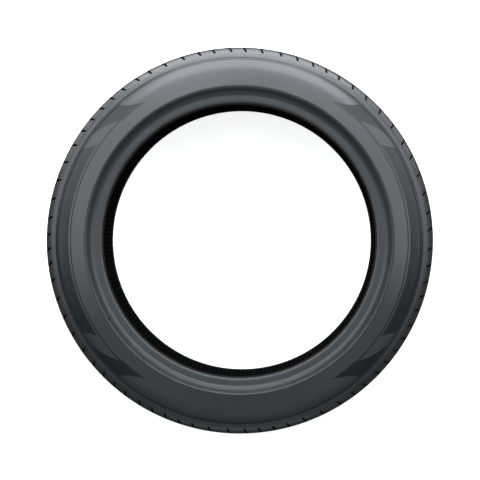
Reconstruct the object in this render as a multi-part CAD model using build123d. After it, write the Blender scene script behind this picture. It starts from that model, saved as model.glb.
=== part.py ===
"""Unmounted radial car tyre, size 255/45 R20, moulded as one hollow piece of rubber.

Frame: origin at the centre of the tyre, which lies on one sidewall with its axis along +Z, in millimetres.
The section is drawn as (distance along the axis, radius) over +Y and turned about Z.
"""
import os
from math import acos, asin, atan2, cos, hypot, radians, sin, tan

from build123d import *

# Size of the tyre and of the rim it is made for; loose beads stand wider apart than the rim by their spread
SECTION_WIDTH = 255.0
ASPECT_RATIO = 0.45
RIM_CODE_DIAMETER = 508.0
RIM_WIDTH = 215.9
BEAD_SPREAD = 12.7
BEAD_SEAT_DIAMETER = 512.8

# Tread, with four grooves round it
CROWN_CURVE = 900.0
SHOULDER_INSET = 25.5
TREAD_DEPTH = 8.0
GROOVE_CENTRES = (22.0, 58.0)
GROOVE_WIDTH = 11.0
GROOVE_DRAFT_DEG = 9.0

# Shoulder slots, one for each short, medium or long pitch of the tread, clockwise from +Y as seen from above
PITCH_SEQUENCE = "MLMMSSMMLLLMLLLML" "MMSSMSSSSMSMLLMSSSM" "LMSSSSMSSSMLLLLMSS" "MLLLLMSSSSMSMLMSMS"
PITCH_UNITS = {"S": 6, "M": 7, "L": 8}
FIRST_SLOT_DEG = 2.4
SLOT_WIDTH = 6.2
SLOT_DRAFT_DEG = 3.0
SLOT_SLANT_DEG = 25.0
SLOT_SETBACK = 7.0
SLOT_DEPTH = 7.0
SLOT_HEEL_DEPTH = 8.0
SLOT_EXIT_DEG = 54.0
CUT_CLEARANCE = 4.0

# Slots that run from the outer grooves part of the way across the ribs beside them, at a share of each pitch
RIB_SLOT_WIDTH = 3.0
RIB_SLOT_LENGTH = 15.0
RIB_SLOT_DEPTH = 6.0
RIB_SLOT_SLANT_DEG = 24.0
RIB_SLOT_SHARE = 0.3

# Wear bars across the grooves, at even steps round the tyre
WEAR_BAR_COUNT = 6
WEAR_BAR_LENGTH = 12.0
WEAR_BAR_HEIGHT = 1.6

# Sidewall, from the rib below the shoulder to the lip that shields the rim
SIDEWALL_CURVE = 160.0
WIDEST_HEIGHT = 56.0
SHOULDER_RIB_DROP = 25.3
SHOULDER_RIB_WIDTH = 3.4
RIB_HEIGHT = 0.5
PROTECTOR_HEIGHT = 35.5
PROTECTOR_LIP = 1.4
PROTECTOR_FLARE = 8.0
PROTECTOR_EDGE = 2.0

# Bead: flange seat, heel, tapered base, straight land and toe
FLANGE_CURVE = 12.0
FLANGE_SWEEP_DEG = 47.0
FLANGE_FACE_HEIGHT = 6.2
RIM_LINE_DEG = 36.0
RIM_LINE_WIDTH_DEG = 10.0
HEEL_CURVE = 6.5
BEAD_TAPER_DEG = 5.0
BEAD_BASE_WIDTH = 18.5
BEAD_LAND_WIDTH = 7.0
TOE_CHAMFER = 1.5

# Wall thicknesses
UNDERTREAD = 6.0
SHOULDER_WALL = 15.0
SIDEWALL_WALL = 8.5
BEAD_WALL = 12.5

# Matt fields sunk into the sidewalls; an end is given as degrees from X at its outer edge, middle and inner edge
FIELD_DEPTH = 0.5
FIELD_MARGIN = 1.2
BAND_HEIGHT = 19.5
LINE_GAP = 2.8
LINE_WIDTH = 2.0
LINE_END_DEG = 47.0
LOZENGE_DROP = 7.4
BAND_END_DEG = (30.5, 32.0, 34.0)
LOZENGE_NEAR_DEG = (35.5, 42.0, 46.0)
LOZENGE_FAR_DEG = (48.5, 51.0, 56.0)

# Places that follow from the sizes above
RIM_RADIUS = RIM_CODE_DIAMETER / 2
OUTER_RADIUS = RIM_RADIUS + ASPECT_RATIO * SECTION_WIDTH
HALF_WIDTH = SECTION_WIDTH / 2
TREAD_EDGE = HALF_WIDTH - SHOULDER_INSET
WIDEST_RADIUS = RIM_RADIUS + WIDEST_HEIGHT
SHOULDER_RIB_TOP = OUTER_RADIUS - SHOULDER_RIB_DROP
SHOULDER_RIB_FOOT = SHOULDER_RIB_TOP - SHOULDER_RIB_WIDTH
LIP_AXIAL = HALF_WIDTH + PROTECTOR_LIP
LIP_RADIUS = RIM_RADIUS + PROTECTOR_HEIGHT
FLARE_RADIUS = LIP_RADIUS + PROTECTOR_FLARE
FLANGE_FACE = (RIM_WIDTH + BEAD_SPREAD) / 2
HEEL_CORNER_RADIUS = BEAD_SEAT_DIAMETER / 2
TOE = FLANGE_FACE - BEAD_BASE_WIDTH
LAND_START = TOE + TOE_CHAMFER
LAND_END = LAND_START + BEAD_LAND_WIDTH
LAND_RADIUS = HEEL_CORNER_RADIUS - (FLANGE_FACE - LAND_END) * tan(radians(BEAD_TAPER_DEG))
BAND_TOP = SHOULDER_RIB_FOOT - FIELD_MARGIN
BAND_FOOT = BAND_TOP - BAND_HEIGHT
LINE_TOP = BAND_FOOT - LINE_GAP
LINE_FOOT = LINE_TOP - LINE_WIDTH
LOZENGE_FOOT = BAND_FOOT - LOZENGE_DROP
WIDEST = radians(90)
SECTION = Plane(origin=(0, 0, 0), x_dir=(0, 0, 1), z_dir=(-1, 0, 0))


class SectionCircle:
    """A circle of the section. Its angles run from straight outwards towards the sidewall, in radians."""

    def __init__(self, centre, radius):
        self.centre = centre
        self.radius = radius

    def at(self, angle, rise=0.0):
        """Point at an angle, raised from the circle by a height."""
        reach = self.radius + rise
        return (self.centre[0] + reach * sin(angle), self.centre[1] + reach * cos(angle))

    def angle_at(self, tyre_radius, rise=0.0):
        """Angle at which the raised circle stands at a radius of the tyre."""
        return acos((tyre_radius - self.centre[1]) / (self.radius + rise))

    def angle_across(self, axial):
        """Angle at which the circle stands at an axial distance."""
        return asin((axial - self.centre[0]) / self.radius)

    def arc(self, start, end, rise=0.0):
        """Arc between two angles."""
        return ThreePointArc(self.at(start, rise), self.at((start + end) / 2, rise), self.at(end, rise))

    def runs_into(self, larger):
        """Angle at which the circle runs into a larger one that it touches from inside."""
        return atan2(self.centre[0] - larger.centre[0], self.centre[1] - larger.centre[1])


def crown_circle(depth=0.0):
    """Circle of the tread surface, or of a surface at a depth below it."""
    return SectionCircle((0.0, OUTER_RADIUS - CROWN_CURVE), CROWN_CURVE - depth)


def crown_point(axial, depth=0.0):
    """Point at an axial distance on the tread surface, or at a depth below it."""
    crown = crown_circle(depth)
    return crown.at(crown.angle_across(axial))


def crown_arc(start, end, depth=0.0):
    """Arc of the tread surface, or of one below it, between two axial distances."""
    crown = crown_circle(depth)
    return crown.arc(crown.angle_across(start), crown.angle_across(end))


def sidewall_circle(inset=0.0):
    """Circle of the upper sidewall, or of a surface inside it."""
    return SectionCircle((HALF_WIDTH - SIDEWALL_CURVE, WIDEST_RADIUS), SIDEWALL_CURVE - inset)


def shoulder_circle(crown, edge, sidewall):
    """Circle that leaves the crown at an axial distance and runs into the sidewall, tangent to both."""
    lean = crown.angle_across(edge)
    start = crown.at(lean)
    gap = (start[0] - sidewall.centre[0], start[1] - sidewall.centre[1])
    along = gap[0] * sin(lean) + gap[1] * cos(lean)
    radius = (sidewall.radius**2 - hypot(*gap) ** 2) / (2 * (sidewall.radius - along))
    return SectionCircle((start[0] - radius * sin(lean), start[1] - radius * cos(lean)), radius)


CROWN = crown_circle()
SIDEWALL = sidewall_circle()
SHOULDER = shoulder_circle(CROWN, TREAD_EDGE, SIDEWALL)
SHOULDER_END = SHOULDER.runs_into(SIDEWALL)


def path(*points):
    """Straight edges through points in order."""
    return [Line(start, end) for start, end in zip(points, points[1:])]


def groove_edges(centre):
    """Drafted walls and floor of one groove that runs round the tread."""
    mouth = GROOVE_WIDTH / 2
    floor = mouth - TREAD_DEPTH * tan(radians(GROOVE_DRAFT_DEG))
    return path(
        crown_point(centre - mouth),
        crown_point(centre - floor, TREAD_DEPTH),
        crown_point(centre + floor, TREAD_DEPTH),
        crown_point(centre + mouth),
    )


def tread_edges():
    """Half of the tread, from the first groove to the end of the shoulder curve."""
    edges = []
    mouth = GROOVE_WIDTH / 2
    land_ends = [centre - mouth for centre in GROOVE_CENTRES[1:]] + [TREAD_EDGE]
    for centre, land_end in zip(GROOVE_CENTRES, land_ends):
        edges += groove_edges(centre)
        edges.append(crown_arc(centre + mouth, land_end))
    edges.append(SHOULDER.arc(CROWN.angle_across(TREAD_EDGE), SHOULDER_END))
    return edges


def sidewall_edges():
    """Sidewall with the rib below the shoulder, down to the lip of the rim protector."""
    top = SIDEWALL.angle_at(SHOULDER_RIB_TOP)
    foot = SIDEWALL.angle_at(SHOULDER_RIB_FOOT)
    raised_top = SIDEWALL.angle_at(SHOULDER_RIB_TOP - RIB_HEIGHT, RIB_HEIGHT)
    raised_foot = SIDEWALL.angle_at(SHOULDER_RIB_FOOT + RIB_HEIGHT, RIB_HEIGHT)
    rib = path(
        SIDEWALL.at(top),
        SIDEWALL.at(raised_top, RIB_HEIGHT),
        SIDEWALL.at(raised_foot, RIB_HEIGHT),
        SIDEWALL.at(foot),
    )
    protector = path(
        SIDEWALL.at(WIDEST),
        (HALF_WIDTH, FLARE_RADIUS),
        (LIP_AXIAL, LIP_RADIUS + PROTECTOR_EDGE / 2),
        (LIP_AXIAL, LIP_RADIUS - PROTECTOR_EDGE / 2),
    )
    return [SIDEWALL.arc(SHOULDER_END, top), *rib, SIDEWALL.arc(foot, WIDEST), *protector]


def bead_edges():
    """Bead from the protector's lip, over the flange seat with its fitting line and the heel, to the toe."""
    taper = radians(BEAD_TAPER_DEG)
    heel_rise = HEEL_CURVE / cos(taper) - HEEL_CURVE * tan(taper)
    heel = SectionCircle((FLANGE_FACE - HEEL_CURVE, HEEL_CORNER_RADIUS + heel_rise), HEEL_CURVE)
    heel_end = radians(180) - taper
    seat = SectionCircle((FLANGE_FACE + FLANGE_CURVE, heel.centre[1] + FLANGE_FACE_HEIGHT), FLANGE_CURVE)
    seat_start = -WIDEST
    seat_end = seat_start + radians(FLANGE_SWEEP_DEG)
    line_middle = seat_start + radians(RIM_LINE_DEG)
    line_start = line_middle - radians(RIM_LINE_WIDTH_DEG / 2)
    line_end = line_middle + radians(RIM_LINE_WIDTH_DEG / 2)
    return [
        Line((LIP_AXIAL, LIP_RADIUS - PROTECTOR_EDGE / 2), seat.at(seat_end)),
        seat.arc(seat_end, line_end),
        *path(seat.at(line_end), seat.at(line_middle, -RIB_HEIGHT), seat.at(line_start)),
        seat.arc(line_start, seat_start),
        Line(seat.at(seat_start), heel.at(WIDEST)),
        heel.arc(WIDEST, heel_end),
        *path(
            heel.at(heel_end),
            (LAND_END, LAND_RADIUS),
            (LAND_START, LAND_RADIUS),
            (TOE, LAND_RADIUS + TOE_CHAMFER),
        ),
    ]


def liner_edges(crown, crown_edge):
    """Inside of the tyre, from the toe to the edge of the inner crown."""
    wall = sidewall_circle(SIDEWALL_WALL)
    shoulder = shoulder_circle(crown, crown_edge, wall)
    bend = shoulder.runs_into(wall)
    bead = path(
        (TOE, LAND_RADIUS + TOE_CHAMFER),
        (FLANGE_FACE - BEAD_WALL, HEEL_CORNER_RADIUS + HEEL_CURVE + FLANGE_FACE_HEIGHT),
        (HALF_WIDTH - SIDEWALL_WALL, FLARE_RADIUS),
        wall.at(WIDEST),
    )
    return [*bead, wall.arc(WIDEST, bend), shoulder.arc(bend, crown.angle_across(crown_edge))]


def make_carcass():
    """The whole section turned about the tyre's axis."""
    inner_depth = TREAD_DEPTH + UNDERTREAD
    inner_edge = TREAD_EDGE - SHOULDER_WALL
    centre_rib = GROOVE_CENTRES[0] - GROOVE_WIDTH / 2
    half = tread_edges() + sidewall_edges() + bead_edges() + liner_edges(crown_circle(inner_depth), inner_edge)
    with BuildPart() as body:
        with BuildSketch(SECTION):
            with BuildLine():
                add(half)
                mirror(about=Plane.YZ)
                add(crown_arc(-centre_rib, centre_rib))
                add(crown_arc(-inner_edge, inner_edge, inner_depth))
            make_face()
        revolve(axis=Axis.Z)
    return body.part


def wear_bars():
    """Blocks that stand across the grooves, rooted in the rubber below and beside them."""
    bars = []
    for centre in GROOVE_CENTRES:
        top = crown_point(centre, TREAD_DEPTH - WEAR_BAR_HEIGHT)[1]
        root = crown_point(centre, TREAD_DEPTH + UNDERTREAD / 2)[1]
        bar = Pos(0, (top + root) / 2, centre) * Box(WEAR_BAR_LENGTH, top - root, GROOVE_WIDTH)
        upper = [Rot(0, 0, 360 * (step + 0.5) / WEAR_BAR_COUNT) * bar for step in range(WEAR_BAR_COUNT)]
        bars += upper + [Rot(0, 180, 0) * turned for turned in upper]
    return bars


def pitch_angles(share=0.0):
    """Place at a share of each pitch, in degrees clockwise from +Y as seen from above."""
    lengths = [PITCH_UNITS[pitch] for pitch in PITCH_SEQUENCE]
    unit = 360 / sum(lengths)
    starts = [sum(lengths[:index]) for index in range(len(lengths))]
    return [FIRST_SLOT_DEG + unit * (start + share * length) for start, length in zip(starts, lengths)]


def slot_cutter():
    """Solid that cuts the upper shoulder's slot over +Y: drafted walls and a floor that climbs out."""
    start = GROOVE_CENTRES[-1] + GROOVE_WIDTH / 2 + SLOT_SETBACK
    bend = crown_point(TREAD_EDGE, SLOT_HEEL_DEPTH)
    leave = SHOULDER.at(radians(SLOT_EXIT_DEG))
    climb = (leave[1] - bend[1]) / (leave[0] - bend[0])
    end = leave[0] + CUT_CLEARANCE
    above = OUTER_RADIUS + CUT_CLEARANCE
    below = leave[1] - CUT_CLEARANCE
    with BuildSketch(SECTION) as side_view:
        with BuildLine():
            floor = [crown_point(start, SLOT_DEPTH), bend, (end, leave[1] + climb * CUT_CLEARANCE)]
            Polyline(*floor, (end, above), (start, above), close=True)
        make_face()
    draft = tan(radians(SLOT_DRAFT_DEG))
    slant = tan(radians(SLOT_SLANT_DEG))
    lead = slant * (end - start)
    mouth = SLOT_WIDTH / 2 + draft * (above - OUTER_RADIUS)
    foot = SLOT_WIDTH / 2 - draft * (OUTER_RADIUS - below)
    with BuildSketch(Plane.XY.offset(start)) as end_view:
        with BuildLine():
            Polyline((-foot, below), (foot, below), (mouth, above), (-mouth, above), close=True)
        make_face()
    across = extrude(side_view.sketch, amount=lead + SLOT_WIDTH, both=True)
    along = extrude(end_view.sketch, amount=end - start, dir=(slant, 0, 1))
    return Pos(-lead, 0, 0) * (across & along)


def rib_slot_cutter():
    """Solid that cuts a slanted slot over +Y from the upper outer groove into the rib beside it."""
    mouth = GROOVE_CENTRES[-1] - GROOVE_WIDTH / 2 + CUT_CLEARANCE
    end = mouth - CUT_CLEARANCE - RIB_SLOT_LENGTH
    floor = crown_point(end, RIB_SLOT_DEPTH)[1]
    lead = tan(radians(RIB_SLOT_SLANT_DEG)) * (mouth - end)
    half = RIB_SLOT_WIDTH / 2
    with BuildSketch(Plane(origin=(0, floor, 0), x_dir=(1, 0, 0), z_dir=(0, -1, 0))) as plan:
        with BuildLine():
            Polyline((-half, mouth), (half, mouth), (half - lead, end), (-half - lead, end), close=True)
        make_face()
    return extrude(plan.sketch, amount=OUTER_RADIUS + CUT_CLEARANCE - floor, dir=(0, 1, 0))


def slot_tools():
    """Cutters for both halves of the tread; the lower ones are the upper ones given half a turn about Y."""
    shoulder_slot = slot_cutter()
    rib_slot = rib_slot_cutter()
    upper = [Rot(0, 0, -angle) * shoulder_slot for angle in pitch_angles()]
    upper += [Rot(0, 0, -angle) * rib_slot for angle in pitch_angles(RIB_SLOT_SHARE)]
    return upper + [Rot(0, 180, 0) * tool for tool in upper]


def on_wall(radius, angle_deg):
    """Point of the sidewall seen from above, by its radius and its angle from X."""
    return (radius * cos(radians(angle_deg)), radius * sin(radians(angle_deg)))


def wall_field(top, foot, first_ends, last_ends):
    """Closed outline between two radii and two slanted, curved ends."""
    middle = (top + foot) / 2
    radii = (top, middle, foot)
    first = [on_wall(radius, angle) for radius, angle in zip(radii, first_ends)]
    last = [on_wall(radius, angle) for radius, angle in zip(radii, last_ends)]
    with BuildLine() as outline:
        ThreePointArc(first[0], on_wall(top, (first_ends[0] + last_ends[0]) / 2), last[0])
        Spline(*last)
        ThreePointArc(last[2], on_wall(foot, (first_ends[2] + last_ends[2]) / 2), first[2])
        Spline(*reversed(first))
    return make_face(outline.edges())


def half_fields():
    """Fields of the sidewall's +X half: a broad band, a line inside it and a lozenge past each end."""
    below = [tuple(-angle for angle in ends) for ends in (BAND_END_DEG, LOZENGE_NEAR_DEG, LOZENGE_FAR_DEG)]
    line_ends = (LINE_END_DEG,) * 3
    line_starts = (-LINE_END_DEG,) * 3
    return [
        wall_field(BAND_TOP, BAND_FOOT, below[0], BAND_END_DEG),
        wall_field(LINE_TOP, LINE_FOOT, line_starts, line_ends)
        + wall_field(BAND_TOP, LOZENGE_FOOT, LOZENGE_NEAR_DEG, LOZENGE_FAR_DEG)
        + wall_field(BAND_TOP, LOZENGE_FOOT, below[2], below[1]),
    ]


def field_tools():
    """Thin cutters that sink the matt fields into both sidewalls to an even depth."""
    top = SIDEWALL.angle_at(SHOULDER_RIB_FOOT)
    foot = WIDEST + (WIDEST - top)
    floor = SIDEWALL.arc(top, foot, -FIELD_DEPTH)
    roof = SIDEWALL.arc(foot, top, RIB_HEIGHT)
    skin_edges = [floor, Line(floor @ 1, roof @ 0), roof, Line(roof @ 1, floor @ 0)]
    skin = revolve(SECTION * make_face(skin_edges), axis=Axis.Z)
    upper = []
    for face in half_fields():
        field = extrude(face, amount=LIP_AXIAL) & skin
        upper += [field, Rot(0, 0, 180) * field]
    return upper + [mirror(tool, about=Plane.XY) for tool in upper]


tyre = make_carcass() + wear_bars() - slot_tools() - field_tools()

os.makedirs("parts", exist_ok=True)
export_step(tyre, "parts/tyre.step")
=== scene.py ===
"""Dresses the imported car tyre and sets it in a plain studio.

The tyre is one moulded piece, so the scene holds one piece for it. One node tree turns its section about
the axis, one gives each zone its finish, and one repeats shapes round the tyre: wear bars that are added, and
slots, sipes, notches and sunken fields that are cut out. The tyre's sizes are in millimetres, along the axis
and as radii, and become metres where a mesh or a material is made. Sizes of the studio are in metres.
"""
import logging
from dataclasses import dataclass, field
from enum import Enum
from math import acos, asin, atan2, cos, hypot, pi, radians, sin, tan

import bmesh
import bpy
from bpy.types import ID, Material, Mesh, NodeSocket, Object
from mathutils import Matrix, Vector


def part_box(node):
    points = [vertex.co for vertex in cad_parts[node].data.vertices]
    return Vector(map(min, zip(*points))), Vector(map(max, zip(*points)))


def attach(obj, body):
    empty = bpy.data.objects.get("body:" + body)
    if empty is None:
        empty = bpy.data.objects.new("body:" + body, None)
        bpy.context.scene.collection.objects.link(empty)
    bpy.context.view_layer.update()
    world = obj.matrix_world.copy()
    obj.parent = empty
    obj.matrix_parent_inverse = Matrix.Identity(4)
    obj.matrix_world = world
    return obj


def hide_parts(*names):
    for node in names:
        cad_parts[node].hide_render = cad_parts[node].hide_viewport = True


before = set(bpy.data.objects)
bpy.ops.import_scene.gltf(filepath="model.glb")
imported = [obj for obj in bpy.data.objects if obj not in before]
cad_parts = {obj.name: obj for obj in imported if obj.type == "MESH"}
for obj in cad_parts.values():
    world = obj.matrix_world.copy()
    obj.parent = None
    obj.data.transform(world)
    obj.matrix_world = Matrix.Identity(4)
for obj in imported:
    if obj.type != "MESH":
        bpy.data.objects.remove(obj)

LOG = logging.getLogger("tyre")
METRES = 0.001
WIDEST = radians(90)
WHOLLY_INSIDE = 0.99
WHITE = (1.0, 1.0, 1.0, 1.0)
TURN = "turn"

Flat = tuple[float, float]
Triple = tuple[float, float, float]
Ring = list[Vector]
Links = dict[str, NodeSocket | list[NodeSocket]]


class Zone(Enum):
    """Stretch of the section that has a finish of its own."""

    TREAD = "tread"
    WALL = "wall"
    BEAD = "bead"
    LINER = "liner"
    # The fine lines' floors take the slot finish, which is painted shade.
    LINE = "line"

    @property
    def label(self) -> str:
        """Name of the input that takes the zone's finish."""
        return f"{self.value.title()} Finish"


class Pitch(Enum):
    """Length of one pitch of the tread, in units that all pitches share."""

    SHORT = 6
    MEDIUM = 7
    LONG = 8


PITCH_CODE: dict[str, Pitch] = {"S": Pitch.SHORT, "M": Pitch.MEDIUM, "L": Pitch.LONG}


def spread(start: float, end: float, steps: int) -> list[float]:
    """Evenly spaced values from one to another, with both."""
    return [start + (end - start) * step / steps for step in range(steps + 1)]


def between(start: Flat, end: Flat, share: float) -> Flat:
    """Point part of the way from one point to another."""
    return (start[0] + (end[0] - start[0]) * share, start[1] + (end[1] - start[1]) * share)


def evenly_round(count: int, first: float = 0.0) -> list[float]:
    """Turns in radians of places that are spaced evenly round the tyre."""
    return [first + 2 * pi * index / count for index in range(count)]


def round_tyre(axial: float, radius: float, turn: float) -> Vector:
    """Point in metres at a place on the section and a turn in radians, clockwise from +Y seen from above."""
    return Vector((radius * sin(turn), radius * cos(turn), axial)) * METRES


@dataclass(frozen=True)
class SectionCircle:
    """A circle of the section. Angles run from straight outwards towards the sidewall, in radians."""

    centre: Flat
    radius: float

    def at(self, angle: float, rise: float = 0.0) -> Flat:
        """Point at an angle, raised from the circle by a height."""
        reach = self.radius + rise
        return (self.centre[0] + reach * sin(angle), self.centre[1] + reach * cos(angle))

    def angle_at(self, tyre_radius: float) -> float:
        """Angle at which the circle stands at a radius of the tyre."""
        return acos((tyre_radius - self.centre[1]) / self.radius)

    def angle_across(self, axial: float) -> float:
        """Angle at which the circle stands at a distance along the axis."""
        return asin((axial - self.centre[0]) / self.radius)

    def runs_into(self, larger: "SectionCircle") -> float:
        """Angle at which the circle runs into a larger one that it touches from inside."""
        return atan2(self.centre[0] - larger.centre[0], self.centre[1] - larger.centre[1])

    def arc(self, start: float, end: float, steps: int, rise: float = 0.0) -> list[Flat]:
        """Points along the circle between two angles, with both ends, raised from it by a height."""
        return [self.at(angle, rise) for angle in spread(start, end, steps)]


@dataclass(frozen=True)
class TyreSection:
    """The tyre's section: the solid's, with eased edges, fine lines beside the rib and a smoother bead."""

    section_width: float = 255.0
    aspect_ratio: float = 0.45
    rim_code_diameter: float = 508.0
    rim_width: float = 215.9
    bead_spread: float = 12.7
    bead_seat_diameter: float = 512.8
    crown_curve: float = 900.0
    shoulder_inset: float = 25.5
    tread_depth: float = 8.0
    groove_centres: tuple[float, ...] = (22.0, 58.0)
    groove_width: float = 11.0
    groove_draft_deg: float = 9.0
    groove_easing: float = 0.6
    groove_fillet: float = 1.8
    sidewall_curve: float = 160.0
    widest_height: float = 56.0
    shoulder_rib_drop: float = 27.2
    shoulder_rib_width: float = 2.0
    rib_height: float = 0.5
    rib_line_widths: Flat = (2.1, 0.8)
    rib_line_depths: Flat = (1.2, 0.5)
    rib_line_slope: float = 0.1
    protector_height: float = 35.5
    protector_lip: float = 1.4
    protector_flare_deg: float = 3.2
    lip_flat: float = 1.0
    lip_round: Flat = (0.05, 1.4)
    lip_easing: tuple[Flat, ...] = ((2.2, 0.1), (3.2, 0.5), (3.9, 1.1), (4.4, 1.8))
    flange_curve: float = 11.6
    flange_sweep_deg: float = 61.0
    flange_face_height: float = 8.1
    heel_curve: float = 6.5
    heel_split_deg: Flat = (126.0, 135.0)
    bead_taper_deg: float = 5.0
    bead_base_width: float = 18.5
    bead_land_width: float = 7.0
    toe_chamfer: float = 1.5
    toe_rounding: float = 0.3
    undertread: float = 6.0
    shoulder_wall: float = 15.0
    sidewall_wall: float = 8.5
    bead_wall: float = 12.5
    liner_foot_rise: float = 8.0
    liner_rounding: float = 0.25
    mesh_clearance: float = 0.15
    land_steps: tuple[int, ...] = (2, 3, 5)
    shoulder_steps: int = 10
    rib_steps: int = 2
    wall_steps: int = 6
    flare_steps: int = 3
    seat_steps: int = 9
    heel_steps: tuple[int, int] = (2, 3)
    liner_steps: tuple[int, int] = (3, 6)

    @property
    def rim_radius(self) -> float:
        """Half of the rim's code diameter."""
        return self.rim_code_diameter / 2

    @property
    def outer_radius(self) -> float:
        """Radius of the crown, a hair inside the solid's box."""
        return self.rim_radius + self.aspect_ratio * self.section_width - self.mesh_clearance

    @property
    def half_width(self) -> float:
        """Half of the section's width, without the protector's lip."""
        return self.section_width / 2

    @property
    def tread_edge(self) -> float:
        """Distance from the middle plane at which the shoulder starts."""
        return self.half_width - self.shoulder_inset

    @property
    def rib_top(self) -> float:
        """Radius of the outer edge of the rib below the shoulder."""
        return self.outer_radius - self.shoulder_rib_drop

    @property
    def rib_foot(self) -> float:
        """Radius of the inner edge of the rib below the shoulder."""
        return self.rib_top - self.shoulder_rib_width

    @property
    def lip(self) -> Flat:
        """Middle of the rim protector's edge."""
        return (self.half_width + self.protector_lip, self.rim_radius + self.protector_height)

    @property
    def flange_face(self) -> float:
        """Distance of the bead's outer face from the middle plane."""
        return (self.rim_width + self.bead_spread) / 2

    def crown(self, depth: float = 0.0) -> SectionCircle:
        """Circle of the tread surface, or of a surface below it."""
        return SectionCircle((0.0, self.outer_radius - self.crown_curve), self.crown_curve - depth)

    def crown_point(self, axial: float, depth: float = 0.0) -> Flat:
        """Point of the tread surface, or of one below it, at a distance along the axis."""
        circle = self.crown(depth)
        return circle.at(circle.angle_across(axial))

    def through_tread(self, axial: float, high: float, low: float) -> tuple[Flat, Flat]:
        """Points of the tread at a distance along the axis and at two depths."""
        return (self.crown_point(axial, high), self.crown_point(axial, low))

    def sidewall(self, inset: float = 0.0) -> SectionCircle:
        """Circle of the upper sidewall, or of a surface inside it."""
        centre = (self.half_width - self.sidewall_curve, self.rim_radius + self.widest_height)
        return SectionCircle(centre, self.sidewall_curve - inset)

    @staticmethod
    def shoulder_between(crown: SectionCircle, edge: float, wall: SectionCircle) -> SectionCircle:
        """Circle that leaves the crown and runs into the sidewall, tangent to both.

        Args:
            crown: circle of the crown.
            edge: distance along the axis at which it leaves the crown.
            wall: circle of the sidewall.

        Returns:
            The circle of the shoulder.
        """
        lean = crown.angle_across(edge)
        start = crown.at(lean)
        gap = (start[0] - wall.centre[0], start[1] - wall.centre[1])
        along = gap[0] * sin(lean) + gap[1] * cos(lean)
        radius = (wall.radius**2 - hypot(*gap) ** 2) / (2 * (wall.radius - along))
        return SectionCircle((start[0] - radius * sin(lean), start[1] - radius * cos(lean)), radius)

    def shoulder(self) -> SectionCircle:
        """Circle of the outer shoulder."""
        return self.shoulder_between(self.crown(), self.tread_edge, self.sidewall())

    def wall_axial(self, radius: float) -> float:
        """Distance of the sidewall's surface from the middle plane at a radius.

        Args:
            radius: the radius.

        Returns:
            The distance, which is half of the width from the widest place inwards.
        """
        wall = self.sidewall()
        if radius <= wall.centre[1]:
            return self.half_width
        return wall.at(wall.angle_at(radius))[0]

    def land(self, start: float, end: float, steps: int) -> list[Flat]:
        """Points across one rib of the tread, without its ends."""
        return [self.crown_point(axial) for axial in spread(start, end, steps)[1:-1]]

    def groove(self, centre: float) -> list[Flat]:
        """One groove, with eased edges and rounded feet.

        Args:
            centre: distance of its middle along the axis.

        Returns:
            Points of the section across it.
        """
        draft = tan(radians(self.groove_draft_deg))
        mouth = self.groove_width / 2
        stations = [
            (mouth + self.groove_easing, 0.0),
            (mouth - self.groove_easing * draft, self.groove_easing),
            (mouth - (self.tread_depth - self.groove_fillet) * draft, self.tread_depth - self.groove_fillet),
            (mouth - self.tread_depth * draft - self.groove_fillet, self.tread_depth),
        ]
        inner = [self.crown_point(centre - reach, depth) for reach, depth in stations]
        outer = [self.crown_point(centre + reach, depth) for reach, depth in reversed(stations)]
        return inner + outer

    def tread_points(self) -> list[Flat]:
        """Half of the tread, from the middle plane to the end of the shoulder.

        Returns:
            Points of the section in order.
        """
        reach = self.groove_width / 2 + self.groove_easing
        inner = 0.0
        points = [self.crown_point(inner)]
        for centre, steps in zip(self.groove_centres, self.land_steps):
            points += self.land(inner, centre - reach, steps) + self.groove(centre)
            inner = centre + reach
        points += self.land(inner, self.tread_edge, self.land_steps[-1])
        shoulder = self.shoulder()
        start = self.crown().angle_across(self.tread_edge)
        return points + shoulder.arc(start, shoulder.runs_into(self.sidewall()), self.shoulder_steps)

    def rib_angles(self) -> tuple[float, float, float, float]:
        """Stretch of the sidewall that the rib below the shoulder and its fine lines take up.

        Returns:
            Angles of the upper line's far edge, the rib's edges and the lower line's far edge.
        """
        wall = self.sidewall()
        top, foot = wall.angle_at(self.rib_top), wall.angle_at(self.rib_foot)
        upper, lower = self.rib_line_widths
        return (top - upper / wall.radius, top, foot, foot + lower / wall.radius)

    def rib_lines(self) -> list[Flat]:
        """Floors of the fine lines sunk on either side of the rib below the shoulder.

        Returns:
            Two points of the upper line, then two of the lower one.
        """
        wall = self.sidewall()
        start, top, foot, end = self.rib_angles()
        upper, lower = (top - start) * self.rib_line_slope, (end - foot) * self.rib_line_slope
        high, low = self.rib_line_depths
        return wall.arc(start + upper, top - upper, 1, -high) + wall.arc(foot + lower, end - lower, 1, -low)

    def wall_points(self) -> list[Flat]:
        """Sidewall from the rib below the shoulder to the lip of the rim protector.

        Returns:
            Points of the section in order.
        """
        wall = self.sidewall()
        start, top, foot, end = self.rib_angles()
        floors = self.rib_lines()
        flare = WIDEST - radians(self.protector_flare_deg)
        lip_axial, lip_radius = self.lip
        drop, reach = self.lip_round
        rim = (lip_axial - drop, lip_radius + reach)
        flat = self.lip_flat / 2
        return [
            wall.at(start),
            *floors[:2],
            *wall.arc(top, foot, self.rib_steps, self.rib_height),
            *floors[2:],
            *wall.arc(end, flare, self.wall_steps),
            *(between(wall.at(flare), rim, share) for share in spread(0.0, 1.0, self.flare_steps)[1:-1]),
            rim,
            (lip_axial, lip_radius + flat),
            (lip_axial, lip_radius - flat),
        ]

    def heel(self) -> SectionCircle:
        """Circle of the bead's heel.

        Returns:
            The circle, tangent to the bead's outer face and to its tapered base.
        """
        taper = radians(self.bead_taper_deg)
        rise = self.heel_curve / cos(taper) - self.heel_curve * tan(taper)
        centre = (self.flange_face - self.heel_curve, self.bead_seat_diameter / 2 + rise)
        return SectionCircle(centre, self.heel_curve)

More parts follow.
